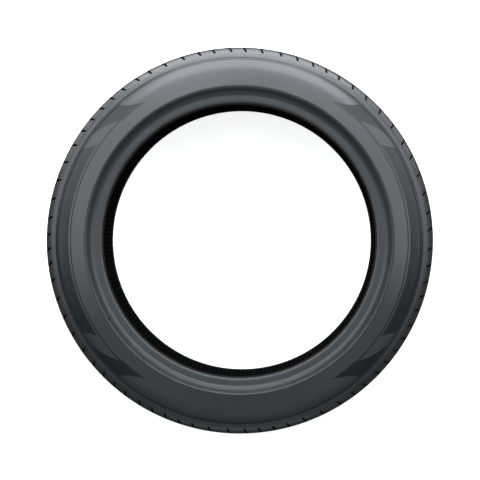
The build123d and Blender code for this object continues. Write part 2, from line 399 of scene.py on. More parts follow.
    def land_radius(self) -> float:
        """Radius of the straight land at the toe of the bead's base."""
        land_end = self.bead_base_width - self.toe_chamfer - self.bead_land_width
        return self.bead_seat_diameter / 2 - land_end * tan(radians(self.bead_taper_deg))

    def flange_seat(self) -> SectionCircle:
        """Circle of the hollow that seats on the rim's flange."""
        foot = self.heel().centre[1] + self.flange_face_height
        return SectionCircle((self.flange_face + self.flange_curve, foot), self.flange_curve)

    def bead_points(self) -> list[Flat]:
        """Outside of the bead from the eased edge below the lip, over the flange seat, to the heel.

        Returns:
            Points of the section in order.
        """
        lip_axial, lip_radius = self.lip
        eased = [(lip_axial - drop, lip_radius - fall) for fall, drop in self.lip_easing]
        seat = self.flange_seat().arc(radians(self.flange_sweep_deg) - WIDEST, -WIDEST, self.seat_steps)
        return eased + seat + self.heel().arc(WIDEST, radians(self.heel_split_deg[0]), self.heel_steps[0])

    def base_points(self) -> list[Flat]:
        """Underside of the bead from the heel to the toe.

        Returns:
            Points of the section in order.
        """
        toe = self.flange_face - self.bead_base_width
        land = self.land_radius()
        eased = self.toe_chamfer * self.toe_rounding
        heel_end = radians(180 - self.bead_taper_deg)
        return [
            *self.heel().arc(radians(self.heel_split_deg[1]), heel_end, self.heel_steps[1]),
            (toe + self.toe_chamfer + self.bead_land_width, land),
            (toe + self.toe_chamfer, land),
            (toe + eased, land + eased),
        ]

    def liner_points(self) -> list[Flat]:
        """Inside of the tyre from the toe to the middle plane.

        Returns:
            Points of the section in order.
        """
        depth = self.tread_depth + self.undertread
        crown = self.crown(depth)
        edge = self.tread_edge - self.shoulder_wall
        wall = self.sidewall(self.sidewall_wall)
        shoulder = self.shoulder_between(crown, edge, wall)
        bend = shoulder.runs_into(wall)
        toe = (self.flange_face - self.bead_base_width, self.land_radius() + self.toe_chamfer)
        apex_radius = self.bead_seat_diameter / 2 + self.heel_curve + self.flange_face_height
        apex = (self.flange_face - self.bead_wall, apex_radius)
        foot = (self.half_width - self.sidewall_wall, self.lip[1] + self.liner_foot_rise)
        corners = (toe, apex, foot, wall.at(WIDEST))
        near, far = self.liner_rounding, 1 - self.liner_rounding
        eased = [
            (between(before, corner, far), between(corner, after, near))
            for before, corner, after in zip(corners, corners[1:], corners[2:])
        ]
        wall_steps, shoulder_steps = self.liner_steps
        return [
            toe,
            *(point for pair in eased for point in pair),
            *wall.arc(WIDEST, bend, wall_steps),
            *shoulder.arc(bend, crown.angle_across(edge), shoulder_steps)[1:],
            self.crown_point(edge / 2, depth),
            self.crown_point(0.0, depth),
        ]

    def outline(self) -> list[tuple[float, float, set[Zone]]]:
        """The whole closed section.

        Returns:
            Points as distance along the axis, radius and zones, from the crown round the upper half and back.
        """
        lines = set(self.rib_lines())
        stretches = (
            (self.tread_points(), {Zone.TREAD}),
            (self.wall_points(), {Zone.WALL}),
            (self.bead_points(), {Zone.BEAD}),
            # The bead's base takes the darker liner finish: partly the bead's own dark rubber, partly painted
            # shade on the base that faces the axis.
            (self.base_points() + self.liner_points(), {Zone.BEAD, Zone.LINER}),
        )
        half = []
        for points, zones in stretches:
            half += [(*point, zones | {Zone.LINE} if point in lines else zones) for point in points]
        mirrored = [(-axial, radius, zones) for axial, radius, zones in reversed(half[1:-1])]
        return half + mirrored


def add_object(name: str, data: ID) -> Object:
    """Makes an object and puts it in the scene.

    Args:
        name: the object's name.
        data: its mesh, light or camera.

    Returns:
        The object.
    """
    made = bpy.data.objects.new(name, data)
    bpy.context.scene.collection.objects.link(made)
    return made


def set_inputs(node: bpy.types.Node, values: dict[str, object]) -> None:
    """Sets constants on a node's inputs by their names."""
    for label, value in values.items():
        node.inputs[label].default_value = value


class NodeTree:
    """A node group that is built by naming its nodes, values and links."""

    def __init__(self, name: str, kind: str, inputs: dict[str, str], outputs: dict[str, str]) -> None:
        """Starts a group.

        Args:
            name: the group's name.
            kind: Geometry or Shader.
            inputs: each input's name and kind of socket.
            outputs: each output's name and kind of socket.
        """
        self.tree = bpy.data.node_groups.new(name, f"{kind}NodeTree")
        self.keys: dict[str, str] = {}
        for way, sockets in (("OUTPUT", outputs), ("INPUT", inputs)):
            for label, socket in sockets.items():
                made = self.tree.interface.new_socket(label, in_out=way, socket_type=f"NodeSocket{socket}")
                self.keys[label] = made.identifier
        self.given = self.tree.nodes.new("NodeGroupInput").outputs
        self.sink = self.tree.nodes.new("NodeGroupOutput").inputs

    def add(
        self, kind: str, links: Links | None = None, output: int | str = 0, **settings: object
    ) -> NodeSocket:
        """Adds a node.

        Args:
            kind: the node's type.
            links: sockets that feed its inputs, by input name, with a list where one input takes several.
            output: number or name of the output that is wanted.
            settings: properties of the node, or values of inputs named with a capital.

        Returns:
            The wanted output of the new node.
        """
        node = self.tree.nodes.new(kind)
        for name, value in settings.items():
            if name[0].isupper():
                node.inputs[name.replace("_", " ")].default_value = value
            else:
                setattr(node, name, value)
        for name, sockets in (links or {}).items():
            for socket in sockets if isinstance(sockets, list) else [sockets]:
                self.tree.links.new(socket, node.inputs[name])
        return node.outputs[output]

    def math(self, operation: str, first: NodeSocket | float, second: NodeSocket | float = 0.0) -> NodeSocket:
        """Adds a maths node.

        Args:
            operation: what it does.
            first: socket or number for its first input.
            second: socket or number for its second input.

        Returns:
            The node's result.
        """
        result = self.add("ShaderNodeMath", operation=operation)
        for socket, value in zip(result.node.inputs, (first, second)):
            if isinstance(value, float):
                socket.default_value = value
            else:
                self.tree.links.new(value, socket)
        return result

    def end(self, **results: NodeSocket) -> None:
        """Sends results out of the group by the names of its outputs."""
        for label, socket in results.items():
            self.tree.links.new(socket, self.sink[label])

    def put_on(self, piece: Object, name: str, values: dict[str, object]) -> None:
        """Puts a geometry group on an object as a modifier.

        Args:
            piece: the object.
            name: the modifier's name.
            values: values of the group's inputs, by their names.
        """
        modifier = piece.modifiers.new(name, "NODES")
        modifier.node_group = self.tree
        for label, value in values.items():
            modifier[self.keys[label]] = value


def geometry_tree(name: str, inputs: dict[str, str]) -> NodeTree:
    """Starts a geometry group that takes a geometry and other inputs, and gives a geometry."""
    return NodeTree(name, "Geometry", {"Geometry": "Geometry"} | inputs, {"Geometry": "Geometry"})


def turning_tree() -> NodeTree:
    """Tree that sweeps a closed section round the axis.

    Returns:
        The tree, which takes the path's radius and the number of segments.
    """
    tree = geometry_tree("Turn section about axis", {"Path Radius": "Float", "Segments": "Int"})
    section = tree.add("GeometryNodeMeshToCurve", {"Mesh": tree.given["Geometry"]})
    links = {"Resolution": tree.given["Segments"], "Radius": tree.given["Path Radius"]}
    path = tree.add("GeometryNodeCurvePrimitiveCircle", links)
    tree.end(Geometry=tree.add("GeometryNodeCurveToMesh", {"Curve": path, "Profile Curve": section}))
    return tree


def finishing_tree() -> NodeTree:
    """Tree that gives each zone its finish. Zones that lie within others come after them.

    Returns:
        The tree, which takes a finish for each zone.
    """
    tree = geometry_tree("Finish each zone", {zone.label: "Material" for zone in Zone})
    links = {"Geometry": tree.given["Geometry"], "Material": tree.given[Zone.WALL.label]}
    done = tree.add("GeometryNodeSetMaterial", links)
    for zone in (Zone.TREAD, Zone.BEAD, Zone.LINER, Zone.LINE):
        share = tree.add("GeometryNodeInputNamedAttribute", data_type="FLOAT", Name=zone.value)
        inside = tree.add("FunctionNodeCompare", {"A": share}, operation="GREATER_THAN", B=WHOLLY_INSIDE)
        links = {"Geometry": done, "Selection": inside, "Material": tree.given[zone.label]}
        done = tree.add("GeometryNodeSetMaterial", links)
    tree.end(Geometry=done)
    return tree


def repeating_tree() -> NodeTree:
    """Tree that repeats a shape round the tyre, on one or both sides, and adds it or cuts it out.

    Returns:
        The tree, which takes the shape, its places and its finish.
    """
    inputs = {"Shape": "Object", "Places": "Object", "Both Sides": "Bool", "Raised": "Bool"}
    tree = geometry_tree("Repeat round tyre", inputs | {"Finish": "Material"})
    given = tree.given
    shape = tree.add("GeometryNodeObjectInfo", {"Object": given["Shape"]}, "Geometry", As_Instance=True)
    places = tree.add("GeometryNodeObjectInfo", {"Object": given["Places"]}, "Geometry")
    turn = tree.add("GeometryNodeInputNamedAttribute", data_type="FLOAT", Name=TURN)
    euler = tree.add("ShaderNodeCombineXYZ", {"Z": tree.math("MULTIPLY", turn, -1.0)})
    upper = tree.add("GeometryNodeInstanceOnPoints", {"Points": places, "Instance": shape, "Rotation": euler})
    lower = tree.add("GeometryNodeTransform", {"Geometry": upper}, Rotation=(0.0, pi, 0.0))
    kept = tree.add("GeometryNodeSwitch", {"Switch": given["Both Sides"], "True": lower})
    both = tree.add("GeometryNodeJoinGeometry", {"Geometry": [upper, kept]})
    real = tree.add("GeometryNodeRealizeInstances", {"Geometry": both})
    dressed = tree.add("GeometryNodeSetMaterial", {"Geometry": real, "Material": given["Finish"]})
    base = given["Geometry"]
    boolean = "GeometryNodeMeshBoolean"
    cut = tree.add(boolean, {"Mesh 1": base, "Mesh 2": dressed}, operation="DIFFERENCE", solver="MANIFOLD")
    joined = tree.add(boolean, {"Mesh 2": [base, dressed]}, operation="UNION", solver="MANIFOLD")
    links = {"Switch": given["Raised"], "False": cut, "True": joined}
    tree.end(Geometry=tree.add("GeometryNodeSwitch", links))
    return tree


@dataclass(frozen=True)
class RubberFinish:
    """One finish of the tyre's rubber; the slot finish is painted shade for the insides of the cuts."""

    name: str
    colour: Triple
    roughness: float
    specular: float
    grain_size: float
    grain_depth: float
    ridge_count: float = 0.0
    ridge_depth: float = 0.0

    def make(self, grain: bpy.types.NodeTree) -> Material:
        """Makes the material.

        Args:
            grain: the shared grain group.

        Returns:
            The material, with its grain and any fine ridges as bump, and painted shade in the ridges'
            valleys.
        """
        material = bpy.data.materials.new(f"{self.name} rubber")
        material.use_nodes = True
        nodes = material.node_tree.nodes
        links = material.node_tree.links
        height = self.grain_depth + self.ridge_depth
        shader = nodes["Principled BSDF"]
        set_inputs(shader, {"Specular IOR Level": self.specular})
        place = nodes.new("ShaderNodeTexCoord")
        group = nodes.new("ShaderNodeGroup")
        group.node_tree = grain
        looks = {
            "Colour": (*self.colour, 1.0),
            "Roughness": self.roughness,
            "Grain Size": self.grain_size * METRES,
            "Ridge Count": self.ridge_count,
            "Ridge Share": self.ridge_depth / height,
        }
        set_inputs(group, looks)
        bump = nodes.new("ShaderNodeBump")
        set_inputs(bump, {"Distance": height * METRES})
        links.new(place.outputs["Object"], group.inputs["Place"])
        links.new(group.outputs["Colour"], shader.inputs["Base Color"])
        links.new(group.outputs["Roughness"], shader.inputs["Roughness"])
        links.new(group.outputs["Height"], bump.inputs["Height"])
        links.new(bump.outputs["Normal"], shader.inputs["Normal"])
        return material


RUBBER = (
    RubberFinish(
        name="tread",
        colour=(0.022, 0.024, 0.026),
        roughness=0.42,
        specular=0.6,
        grain_size=1.1,
        grain_depth=0.03,
    ),
    # Painted shade: the slot finish is a darker, rougher colour for the walls and floors of slots, sipes,
    # notches and fine lines.
    RubberFinish(
        name="slot",
        colour=(0.006, 0.006, 0.007),
        roughness=0.7,
        specular=0.15,
        grain_size=1.1,
        grain_depth=0.03,
    ),
    RubberFinish(
        name="sidewall",
        colour=(0.016, 0.019, 0.021),
        roughness=0.21,
        specular=0.5,
        grain_size=0.8,
        grain_depth=0.012,
    ),
    RubberFinish(
        name="sunken field",
        colour=(0.0035, 0.0055, 0.0065),
        roughness=0.37,
        specular=0.52,
        grain_size=0.6,
        grain_depth=0.02,
    ),
    RubberFinish(
        name="bead",
        colour=(0.0245, 0.0272, 0.0294),
        roughness=0.36,
        specular=0.4,
        grain_size=0.8,
        grain_depth=0.015,
    ),
    # The liner finish also covers the bead's base, where it is partly painted shade.
    RubberFinish(
        name="liner",
        colour=(0.008, 0.008, 0.009),
        roughness=0.55,
        specular=0.25,
        grain_size=0.9,
        grain_depth=0.02,
        # The liner's ridges are bump, with painted shade in their valleys.
        ridge_count=190.0,
        ridge_depth=0.7,
    ),
)


@dataclass(frozen=True)
class RubberGrain:
    """Shared look of moulded rubber: a fine grain, a faint bloom and, on the liner, ridges across it with
    painted shade in their valleys.
    """

    grain_detail: float = 3.0
    bloom_scale: float = 9.0
    bloom_detail: float = 4.0
    bloom_middle: float = 0.5
    bloom_shade: float = 0.3
    darkest_shade: float = 0.85
    bloom_roughness: float = 0.12

    def make(self) -> bpy.types.NodeTree:
        """Makes the shader group.

        Returns:
            The group, which gives a colour with painted shade in the ridges' valleys, a roughness and a
            height from 0 to 1.
        """
        numbers = ("Roughness", "Grain Size", "Ridge Count", "Ridge Share")
        inputs = {"Place": "Vector", "Colour": "Color"} | {label: "Float" for label in numbers}
        outputs = {"Colour": "Color", "Roughness": "Float", "Height": "Float"}
        tree = NodeTree("Rubber grain", "Shader", inputs, outputs)
        given = tree.given
        math = tree.math
        links = {"Vector": given["Place"], "Scale": math("DIVIDE", 1.0, given["Grain Size"])}
        grain = tree.add("ShaderNodeTexNoise", links, Detail=self.grain_detail)
        links = {"Vector": given["Place"]}
        bloom = tree.add("ShaderNodeTexNoise", links, Scale=self.bloom_scale, Detail=self.bloom_detail)
        place = tree.add("ShaderNodeSeparateXYZ", links).node.outputs
        turn = math("ARCTAN2", place["X"], place["Y"])
        wave = math("SINE", math("MULTIPLY", turn, given["Ridge Count"]))
        ridge = math("ADD", math("MULTIPLY", wave, 0.5), 0.5)
        grain_part = math("MULTIPLY", grain, math("SUBTRACT", 1.0, given["Ridge Share"]))
        ridge_part = math("MULTIPLY", ridge, given["Ridge Share"])
        shade = math("ADD", math("MULTIPLY", bloom, self.bloom_shade), self.darkest_shade)
        # Painted shade: the colour darkens in the ridges' valleys.
        painted_valley_shade = math("MULTIPLY", math("SUBTRACT", 1.0, ridge), given["Ridge Share"])
        shade = math("MULTIPLY", shade, math("SUBTRACT", 1.0, painted_valley_shade))
        links = {"Vector": given["Colour"], "Scale": shade}
        tint = tree.add("ShaderNodeVectorMath", links, operation="SCALE")
        uneven = math("MULTIPLY", math("SUBTRACT", bloom, self.bloom_middle), self.bloom_roughness)
        roughness = math("ADD", given["Roughness"], uneven)
        tree.end(Colour=tint, Roughness=roughness, Height=math("ADD", grain_part, ridge_part))
        return tree.tree


def cut_ring(top: Flat, floor: Flat, top_width: float, floor_width: float, lean: float = 0.0) -> Ring:
    """Corners of one cross-section of a cutter, out along its top and back along its floor.

    Args:
        top: middle of the top.
        floor: middle of the floor.
        top_width: width at the top.
        floor_width: width at the floor.
        lean: turn of the middles, in radians.

    Returns:
        The four corners in metres.
    """
    spots = ((top, -top_width), (top, top_width), (floor, floor_width), (floor, -floor_width))
    return [round_tyre(*spot, lean + width / 2 / spot[1]) for spot, width in spots]


def loft(name: str, rings: list[Ring]) -> Mesh:
    """Closed mesh through rings of corners.

    Args:
        name: the mesh's name.
        rings: the cross-sections in order, each of which runs out along one side and back along the other.

    Returns:
        The mesh, with its faces turned outwards.
    """
    size = len(rings[0])
    last = size * (len(rings) - 1)
    faces = []
    for row in range(0, last, size):
        for side in range(size):
            near, beside = row + side, row + (side + 1) % size
            faces.append((near, beside, beside + size, near + size))
    for cap in (0, last):
        for side in range(size // 2 - 1):
            back = cap + size - 1 - side
            faces.append((cap + side, cap + side + 1, back - 1, back))
    mesh = bpy.data.meshes.new(name)
    mesh.from_pydata([corner for ring in rings for corner in ring], [], faces)
    work = bmesh.new()
    work.from_mesh(mesh)
    bmesh.ops.recalc_face_normals(work, faces=work.faces)
    work.to_mesh(mesh)
    work.free()
    return mesh


@dataclass(frozen=True)
class TreadPattern:
    """Places and shapes of what is cut across the tread."""

    section: TyreSection
    sequence: str = "MLMMSSMMLLLMLLLML" "MMSSMSSSSMSMLLMSSSM" "LMSSSSMSSSMLLLLMSS" "MLLLLMSSSSMSMLMSMS"
    first_slot_deg: float = 2.4
    slant_deg: float = 25.0
    slant_offset: float = 4.0
    slot_width: float = 6.2
    slot_draft_deg: float = 3.0
    slot_setback: float = 7.0
    slot_depth: float = 7.0
    slot_heel_depth: float = 8.0
    slot_exit_deg: float = 54.0
    slit_width: float = 1.3
    slit_depth: float = 1.2
    slit_stops_deg: tuple[float, ...] = (48.0, 60.0, 66.0, 71.0)
    sipes_per_pitch: int = 4
    sipe_width: float = 0.45
    sipe_depth: float = 1.2
    sipe_start: float = 82.0
    sipe_end_deg: float = 68.0
    rib_slot_width: float = 3.0
    rib_slot_length: float = 15.0
    rib_slot_depth: float = 6.0
    rib_slot_slant_deg: float = 24.0
    rib_slot_share: float = 0.3
    centre_sipe_reach: float = 9.0
    centre_sipe_depth: float = 4.0
    centre_sipe_shares: Flat = (0.1, 0.6)
    floor_share: float = 0.8
    cut_steps: int = 3
    over: float = 2.0

    def turns(self, shares: tuple[float, ...] = (0.0,)) -> list[float]:
        """Places round the tyre at given shares of each pitch.

        Args:
            shares: how far along each pitch they stand.

        Returns:
            Their turns in radians, clockwise from +Y.
        """
        lengths = [PITCH_CODE[letter].value for letter in self.sequence]
        unit = 2 * pi / sum(lengths)
        found = []
        start = radians(self.first_slot_deg)
        for length in lengths:
            found += [start + unit * length * share for share in shares]
            start += unit * length
        return found

    def sipe_turns(self) -> list[float]:
        """Turns of the fine sipes, spread evenly between the slots."""
        return self.turns(tuple(spread(0.0, 1.0, self.sipes_per_pitch + 1)[1:-1]))

    @property
    def slot_end(self) -> Flat:
        """Point of the shoulder at which a slot's floor comes out."""
        return self.section.shoulder().at(radians(self.slot_exit_deg))

    def lean(self, axial: float) -> float:
        """Turn of a slanted cut at a distance along the axis, against its turn at the shoulder."""
        reach = axial - self.slot_end[0] - self.slant_offset
        return tan(radians(self.slant_deg)) * reach / self.section.outer_radius

    def slot(self) -> Mesh:
        """Shoulder slot with drafted walls and a floor that climbs out of the shoulder.

        Returns:
            The cutter's mesh.
        """
        section = self.section
        start = section.groove_centres[-1] + section.groove_width / 2 + self.slot_setback
        bend = section.crown_point(section.tread_edge, self.slot_heel_depth)
        leave = self.slot_end
        beyond = (leave[0] + self.over, leave[1] + self.over * (leave[1] - bend[1]) / (leave[0] - bend[0]))
        roof = section.outer_radius + self.over
        narrowing = 2 * tan(radians(self.slot_draft_deg))
        rings = []
        for floor in (section.crown_point(start, self.slot_depth), bend, leave, beyond):
            top_width = self.slot_width + self.over * narrowing
            floor_width = self.slot_width - (section.outer_radius - floor[1]) * narrowing
            rings.append(cut_ring((floor[0], roof), floor, top_width, floor_width, self.lean(floor[0])))
        return loft("slot_cutter", rings)

    def along_shoulder(self, angles: list[float], width: float, depth: float) -> list[Ring]:
        """Narrow cut that follows the shoulder's curve at an even depth.

        Args:
            angles: angles on the shoulder's circle, in radians.
            width: its width.
            depth: its depth.

        Returns:
            The cutter's rings, one for each angle.
        """
        shoulder = self.section.shoulder()
        rings = []
        for angle in angles:
            lean = self.lean(shoulder.at(angle)[0])
            top, floor = shoulder.at(angle, self.over), shoulder.at(angle, -depth)
            rings.append(cut_ring(top, floor, width, width, lean))
        return rings

    def slit(self) -> Mesh:
        """Narrow slit that runs on down the shoulder from the end of a slot."""
        angles = [radians(angle) for angle in self.slit_stops_deg]
        return loft("slit_cutter", self.along_shoulder(angles, self.slit_width, self.slit_depth))

    def sipe(self) -> Mesh:
        """Fine sipe over the shoulder between two slots.

        Returns:
            The cutter's mesh.
        """
        section = self.section
        ends = section.through_tread(self.sipe_start, -self.over, self.sipe_depth)
        first = cut_ring(*ends, self.sipe_width, self.sipe_width, self.lean(self.sipe_start))
        start = section.crown().angle_across(section.tread_edge)
        angles = spread(start, radians(self.sipe_end_deg), self.cut_steps)
        return loft("sipe_cutter", [first, *self.along_shoulder(angles, self.sipe_width, self.sipe_depth)])

    def across(self, name: str, start: float, end: float, width: float, depth: float, slant: float) -> Mesh:
        """Straight cut across a rib of the tread.

        Args:
            name: the mesh's name.
            start: distance along the axis at which it starts.
            end: distance at which it ends.
            width: its width.
            depth: its depth below the tread surface.
            slant: how far it moves round the tyre for each millimetre along the axis.

        Returns:
            The cutter's mesh.
        """
        rings = []
        for axial in spread(start, end, self.cut_steps):
            ends = self.section.through_tread(axial, -self.over, depth)
            turn = slant * (axial - start) / self.section.outer_radius
            rings.append(cut_ring(*ends, width, width * self.floor_share, turn))
        return loft(name, rings)

    def rib_slot(self) -> Mesh:
        """Slot from the outer groove part of the way across the rib beside it.

        Returns:
            The cutter's mesh.
        """
        outer = self.section.groove_centres[-1] - self.section.groove_width / 2 + self.over
        inner = outer - self.over - self.rib_slot_length
        slant = tan(radians(self.rib_slot_slant_deg))
        return self.across("rib_slot_cutter", outer, inner, self.rib_slot_width, self.rib_slot_depth, slant)

    def centre_sipe(self) -> Mesh:
        """Fine slanted sipe in the middle rib.

        Returns:
            The cutter's mesh.
        """
        reach, depth = self.centre_sipe_reach, self.centre_sipe_depth
        slant = tan(radians(self.slant_deg))
        return self.across("centre_sipe_cutter", -reach, reach, self.sipe_width, depth, slant)


@dataclass(frozen=True)
class WearBars:
    """Low bars across the grooves, spaced evenly round the tyre."""

    section: TyreSection
    count: int = 6
    length: float = 12.0
    height: float = 1.6

    def bar(self, centre: float) -> Mesh:
        """Bar across one groove, rooted in the rubber below and beside it.

        Args:
            centre: distance of the groove's middle along the axis.

        Returns:
            The bar's mesh.
        """
        section = self.section
        crest = section.tread_depth - self.height
        root = section.tread_depth + section.undertread / 2
        half = section.groove_width / 2
        ends = [section.through_tread(axial, crest, root) for axial in (centre - half, centre + half)]
        return loft("wear_bar", [cut_ring(*end, self.length, self.length) for end in ends])


@dataclass(frozen=True)
class WallFields:
    """Matt fields sunk into the sidewalls. Ends are degrees from X at the outer edge, middle and foot."""

    section: TyreSection
    depth: float = 0.5
    margin: float = 0.9
    band_height: float = 19.5
    line_gap: float = 2.8
    line_width: float = 2.0
    lozenge_drop: float = 7.4
    band_end: Triple = (30.5, 32.0, 34.0)
    lozenge_near: Triple = (35.5, 42.0, 46.0)
    lozenge_far: Triple = (48.5, 51.0, 56.0)
    line_end: Triple = (47.0, 47.0, 47.0)
    step_height: float = 0.45
    step_run: float = 2.4
    step_share: float = 0.92
    over: float = 1.5
    column_deg: float = 1.5
    copies: int = 2

    @staticmethod
    def bent(ends: Triple, share: float) -> float:
        """Direction of a point on a curved end.

        Args:
            ends: degrees of the end at its outer edge, middle and foot.
            share: how far the point is from the outer edge to the foot.

        Returns:
            Degrees from X.
        """
        outer, middle, inner = ends
        curved = outer * (1 - share) * (1 - 2 * share) + middle * 4 * share * (1 - share)
        return curved + inner * share * (2 * share - 1)

    @staticmethod
    def mirrored(ends: Triple) -> Triple:
        """The same end on the other side of X."""
        outer, middle, inner = ends
        return (-outer, -middle, -inner)

    def step_lines(self, top: float, foot: float) -> list[Flat]:
        """Stepped floor of a field.

        Args:
            top: outer radius.
            foot: inner radius.

        Returns:
            Radius and depth of its lines from the outer edge inwards, two for each step.
        """
        steps = max(1, round((top - foot) / self.step_run))
        run = (top - foot) / steps
        lines = []
        for step in range(steps):
            outer = top - run * step
            lines.append((outer, self.depth + self.step_height))
            lines.append((outer - run * self.step_share, self.depth))
        lines[-1] = (foot, self.depth)
        return lines

    def slab(self, name: str, top: float, foot: float, first: Triple, last: Triple) -> Mesh:
        """Closed cutter between two radii and two curved ends, with a finely stepped floor.

        Args:
            name: the mesh's name.
            top: outer radius.
            foot: inner radius.
            first: end at the smaller angle.
            last: end at the larger angle.

        Returns:
            The cutter's mesh.
        """
        columns = max(2, round((last[1] - first[1]) / self.column_deg))
        rings = []
        for radius, drop in self.step_lines(top, foot):
            share = (top - radius) / (top - foot)
            angles = spread(self.bent(first, share), self.bent(last, share), columns)
            turns = [radians(90 - angle) for angle in angles]
            wall = self.section.wall_axial(radius)
            floor = [round_tyre(wall - drop, radius, turn) for turn in turns]
            rings.append(floor + [round_tyre(wall + self.over, radius, turn) for turn in reversed(turns)])
        return loft(name, rings)

    def cutters(self) -> dict[str, Mesh]:
        """Cutters of the +X half: the broad band, the line inside it and a lozenge past each end.

        Returns:
            The cutters' meshes by the names of the fields.
        """
        top = self.section.rib_foot - self.margin
        foot = top - self.band_height
        lozenge_foot = foot - self.lozenge_drop
        line_top = foot - self.line_gap
        line_foot = line_top - self.line_width
        near, far, end = self.lozenge_near, self.lozenge_far, self.line_end
        low_near, low_far = self.mirrored(near), self.mirrored(far)
        return {
            "band": self.slab("band_cutter", top, foot, self.mirrored(self.band_end), self.band_end),
            "upper lozenge": self.slab("lozenge_cutter", top, lozenge_foot, near, far),
            "lower lozenge": self.slab("lozenge_cutter", top, lozenge_foot, low_far, low_near),
            "line": self.slab("line_cutter", line_top, line_foot, self.mirrored(end), end),
        }


@dataclass(frozen=True)
class FittingTicks:
    """Small notches under the rim protector, spaced evenly round the tyre."""

    section: TyreSection
    count: int = 18
    first_deg: float = -1.1
    width: float = 1.0
    depth: float = 0.8
    over: float = 0.8

    def notch(self) -> Mesh:
        """One notch across the underside of the lip.

        Returns:
            The cutter's mesh.
        """
        spots = self.section.bead_points()[1 : len(self.section.lip_easing) + 1]
        high, low = spots[-2:]
        run = (high[0] - low[0], high[1] - low[1])
        length = hypot(*run)
        normal = (run[1] / length, -run[0] / length)
        rings = []
        for spot in spots:
            crest = (spot[0] + normal[0] * self.over, spot[1] + normal[1] * self.over)
            root = (spot[0] - normal[0] * self.depth, spot[1] - normal[1] * self.depth)
            rings.append(cut_ring(crest, root, self.width, self.width))
        return loft("notch_cutter", rings)


@dataclass(frozen=True)
class Feature:
    """A shape over +Y that is repeated round the tyre, and added to it or cut out."""

    name: str
    mesh: Mesh
    turns: list[float]
    finish: Material
    both_sides: bool = True
    raised: bool = False


